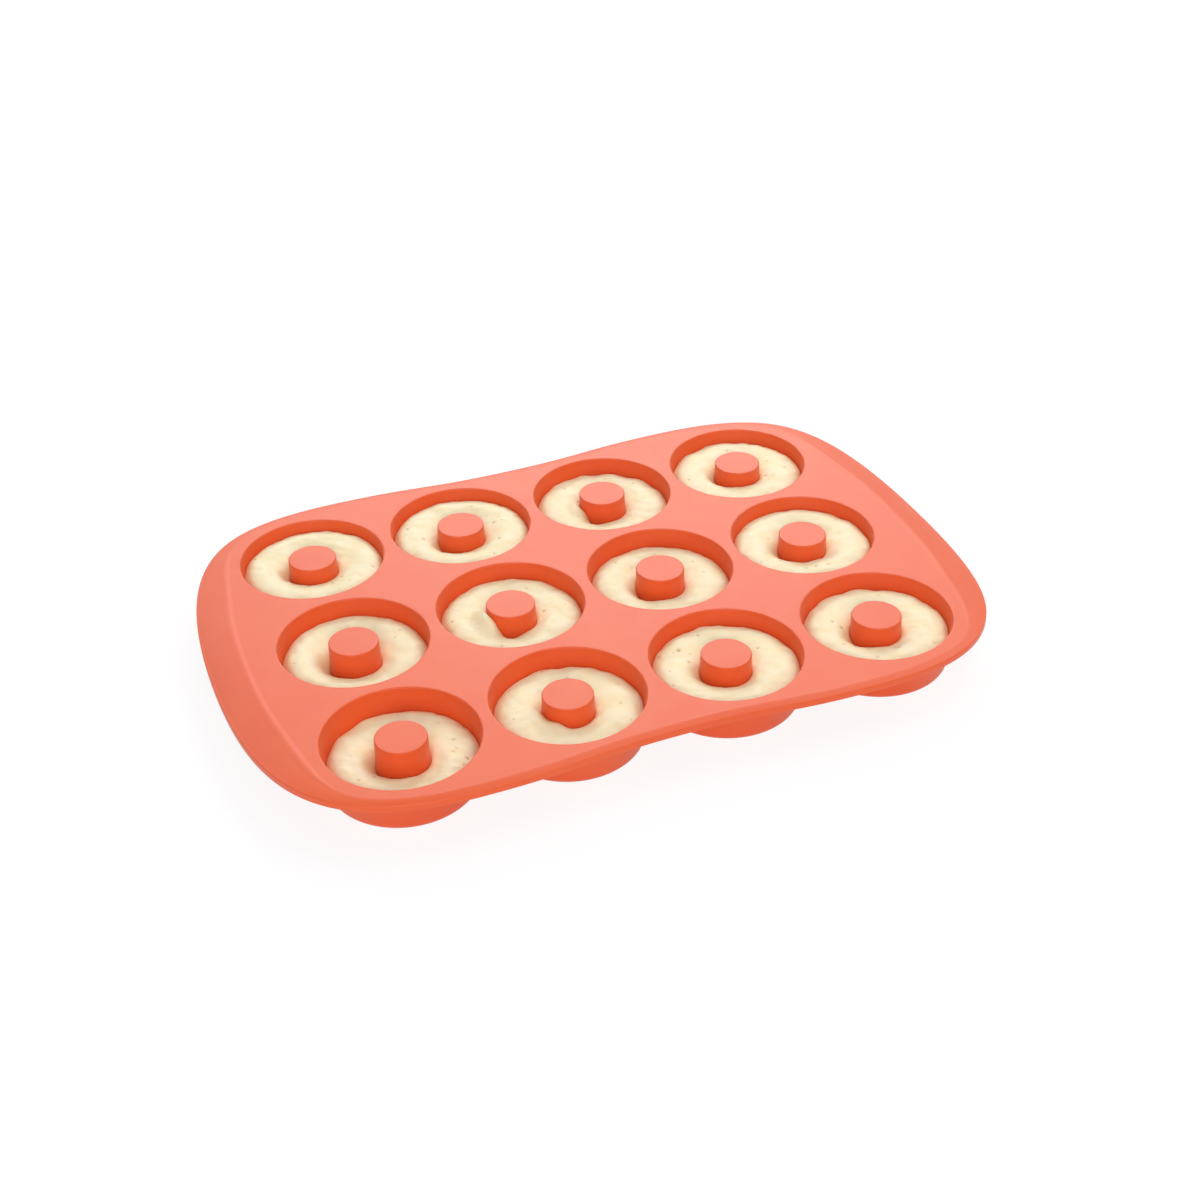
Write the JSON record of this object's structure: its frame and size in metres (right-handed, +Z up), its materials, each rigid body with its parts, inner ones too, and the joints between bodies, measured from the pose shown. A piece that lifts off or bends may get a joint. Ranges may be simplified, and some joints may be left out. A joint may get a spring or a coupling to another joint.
{
  "type": "ring cake pan",
  "caption": "Flexible silicone pan with a flat deck, drooping end grips and rows of round wells with hollow centre posts, filled with ring-shaped batter.",
  "frame": {"origin": "on the surface the pan stands on, under the middle of the pan", "axes": "+X along the pan from grip to grip, +Y from front to back, +Z up"},
  "size_m": [0.355, 0.242, 0.0242],
  "materials": {
    "silicone": "satin",
    "batter": "moist matte"
  },
  "bodies": {
    "pan": {"deck": "silicone", "edge_bead_front": "silicone", "edge_bead_back": "silicone", "grip_left": "silicone", "grip_right": "silicone", "cup_r1c1": "silicone", "cup_r1c2": "silicone", "cup_r1c3": "silicone", "cup_r1c4": "silicone", "cup_r2c1": "silicone", "cup_r2c2": "silicone", "cup_r2c3": "silicone", "cup_r2c4": "silicone", "cup_r3c1": "silicone", "cup_r3c2": "silicone", "cup_r3c3": "silicone", "cup_r3c4": "silicone", "post_r1c1": "silicone", "post_r1c2": "silicone", "post_r1c3": "silicone", "post_r1c4": "silicone", "post_r2c1": "silicone", "post_r2c2": "silicone", "post_r2c3": "silicone", "post_r2c4": "silicone", "post_r3c1": "silicone", "post_r3c2": "silicone", "post_r3c3": "silicone", "post_r3c4": "silicone"},
    "batter_r1c1": {"batter_r1c1": "batter"},
    "batter_r1c2": {"batter_r1c2": "batter"},
    "batter_r1c3": {"batter_r1c3": "batter"},
    "batter_r1c4": {"batter_r1c4": "batter"},
    "batter_r2c1": {"batter_r2c1": "batter"},
    "batter_r2c2": {"batter_r2c2": "batter"},
    "batter_r2c3": {"batter_r2c3": "batter"},
    "batter_r2c4": {"batter_r2c4": "batter"},
    "batter_r3c1": {"batter_r3c1": "batter"},
    "batter_r3c2": {"batter_r3c2": "batter"},
    "batter_r3c3": {"batter_r3c3": "batter"},
    "batter_r3c4": {"batter_r3c4": "batter"}
  },
  "joints": [
    {"name": "lift_r1c1", "type": "slide", "parent": "pan", "child": "batter_r1c1", "axis": [0, 0, 1], "range_m": [0, 0.06]},
    {"name": "lift_r1c2", "type": "slide", "parent": "pan", "child": "batter_r1c2", "axis": [0, 0, 1], "range_m": [0, 0.06]},
    {"name": "lift_r1c3", "type": "slide", "parent": "pan", "child": "batter_r1c3", "axis": [0, 0, 1], "range_m": [0, 0.06]},
    {"name": "lift_r1c4", "type": "slide", "parent": "pan", "child": "batter_r1c4", "axis": [0, 0, 1], "range_m": [0, 0.06]},
    {"name": "lift_r2c1", "type": "slide", "parent": "pan", "child": "batter_r2c1", "axis": [0, 0, 1], "range_m": [0, 0.06]},
    {"name": "lift_r2c2", "type": "slide", "parent": "pan", "child": "batter_r2c2", "axis": [0, 0, 1], "range_m": [0, 0.06]},
    {"name": "lift_r2c3", "type": "slide", "parent": "pan", "child": "batter_r2c3", "axis": [0, 0, 1], "range_m": [0, 0.06]},
    {"name": "lift_r2c4", "type": "slide", "parent": "pan", "child": "batter_r2c4", "axis": [0, 0, 1], "range_m": [0, 0.06]},
    {"name": "lift_r3c1", "type": "slide", "parent": "pan", "child": "batter_r3c1", "axis": [0, 0, 1], "range_m": [0, 0.06]},
    {"name": "lift_r3c2", "type": "slide", "parent": "pan", "child": "batter_r3c2", "axis": [0, 0, 1], "range_m": [0, 0.06]},
    {"name": "lift_r3c3", "type": "slide", "parent": "pan", "child": "batter_r3c3", "axis": [0, 0, 1], "range_m": [0, 0.06]},
    {"name": "lift_r3c4", "type": "slide", "parent": "pan", "child": "batter_r3c4", "axis": [0, 0, 1], "range_m": [0, 0.06]}
  ]
}
